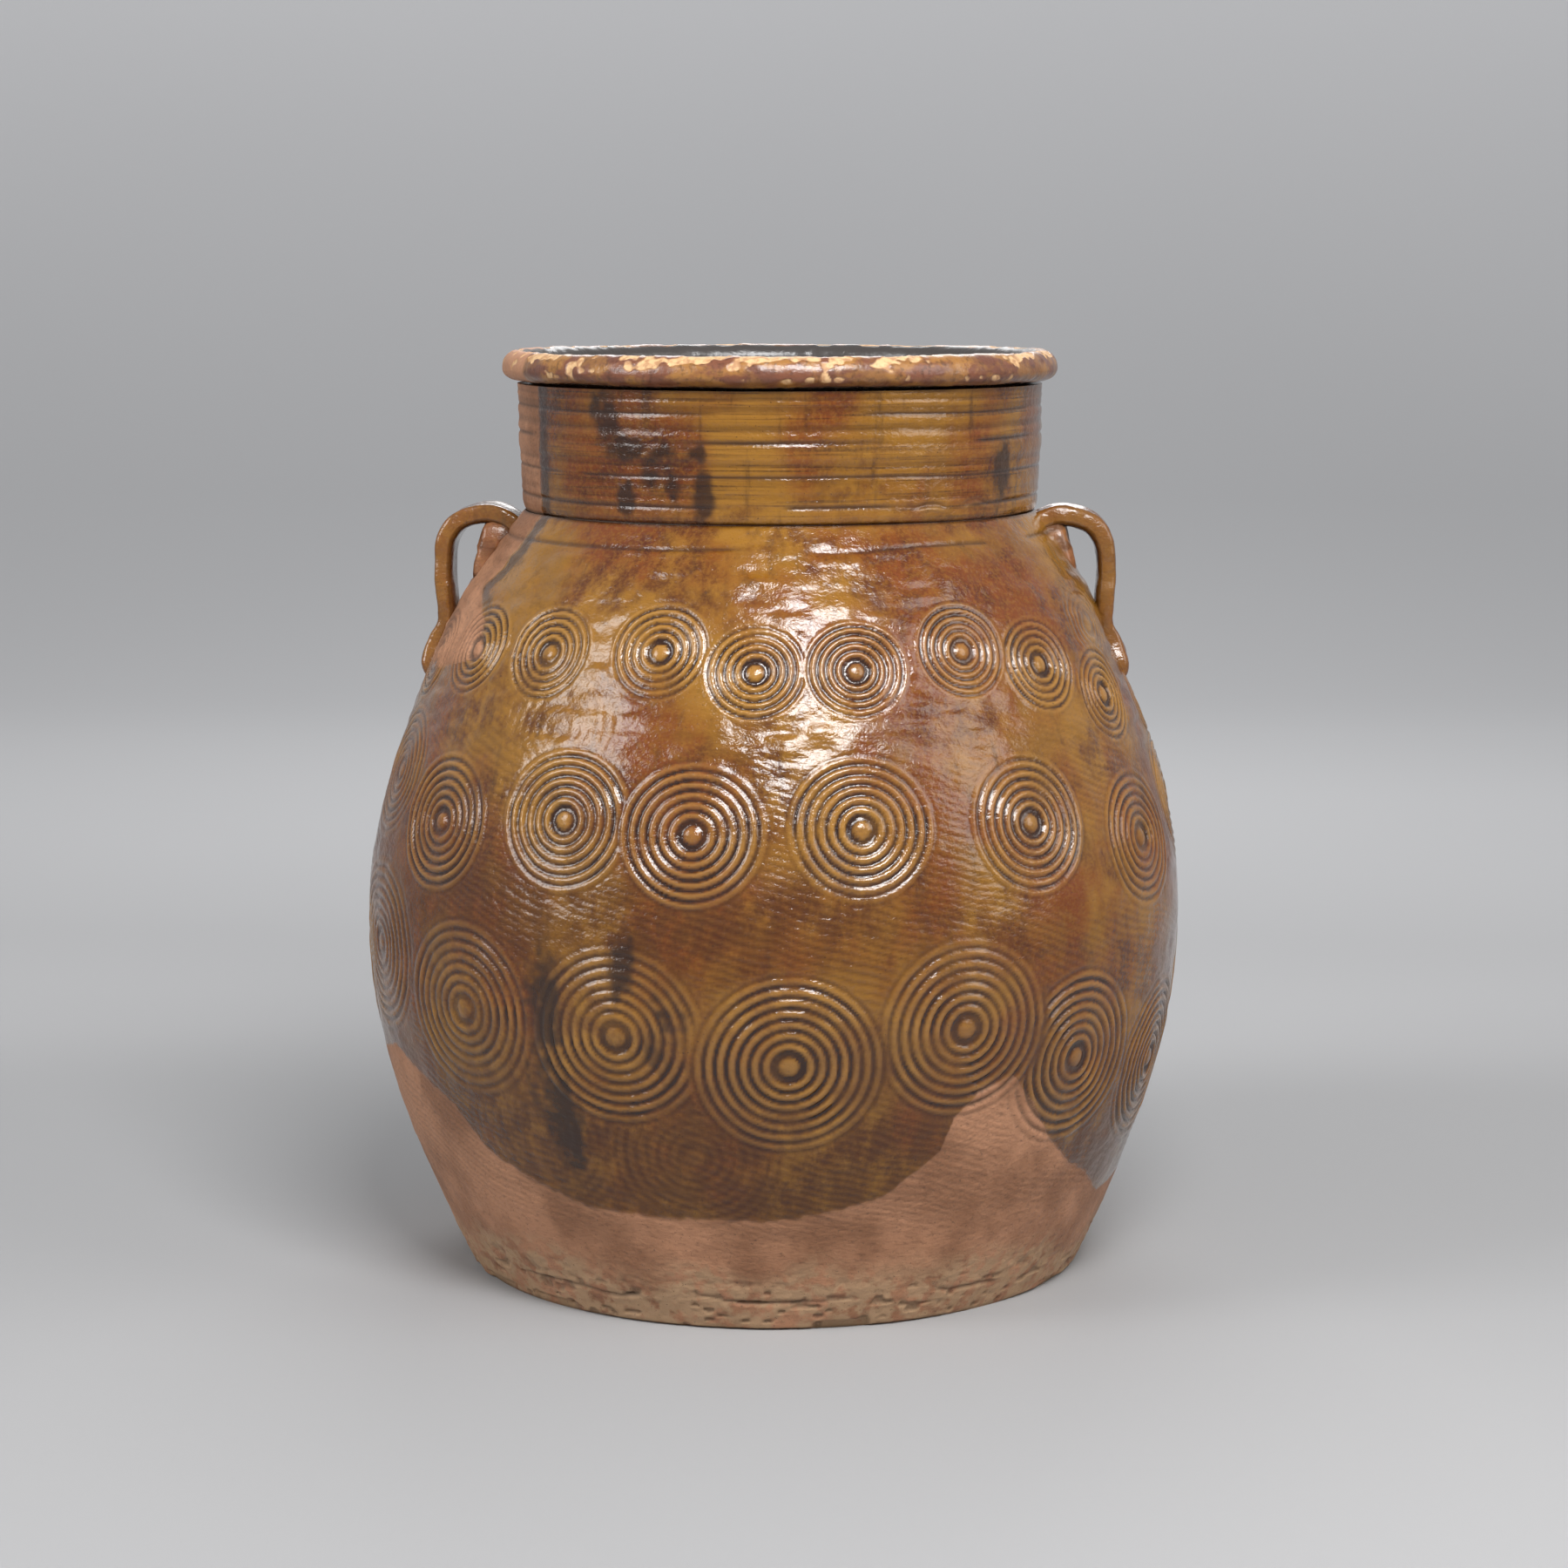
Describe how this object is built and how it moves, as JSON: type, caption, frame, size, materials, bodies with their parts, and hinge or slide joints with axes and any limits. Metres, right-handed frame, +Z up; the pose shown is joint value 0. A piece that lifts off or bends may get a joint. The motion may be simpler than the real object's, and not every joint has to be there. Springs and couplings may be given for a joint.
{
  "type": "martaban jar",
  "caption": "Wide-mouthed glazed stoneware storage jar with a rolled lip, a short neck, strap handles on the shoulder and stamped ring decoration.",
  "frame": {"origin": "centre of the flat base, on the surface that the jar stands on", "axes": "+Z up along the jar's axis, handles on -X and +X, the pictured side towards -Y"},
  "size_m": [0.357, 0.357, 0.4],
  "materials": {
    "bare_clay": "unglazed stoneware, matte",
    "brown_glaze": "gloss ash glaze with darker runs",
    "amber_glaze": "gloss amber-brown glaze",
    "dark_glaze": "dark gloss glaze, worn at the crest"
  },
  "bodies": {
    "root": {"base_slab": "bare_clay", "lower_wall": "brown_glaze", "upper_wall": "amber_glaze", "neck_collar": "brown_glaze", "lip_roll": "dark_glaze", "left_handle": "amber_glaze", "right_handle": "amber_glaze", "left_handle_wad": "bare_clay", "right_handle_wad": "bare_clay"}
  },
  "joints": []
}
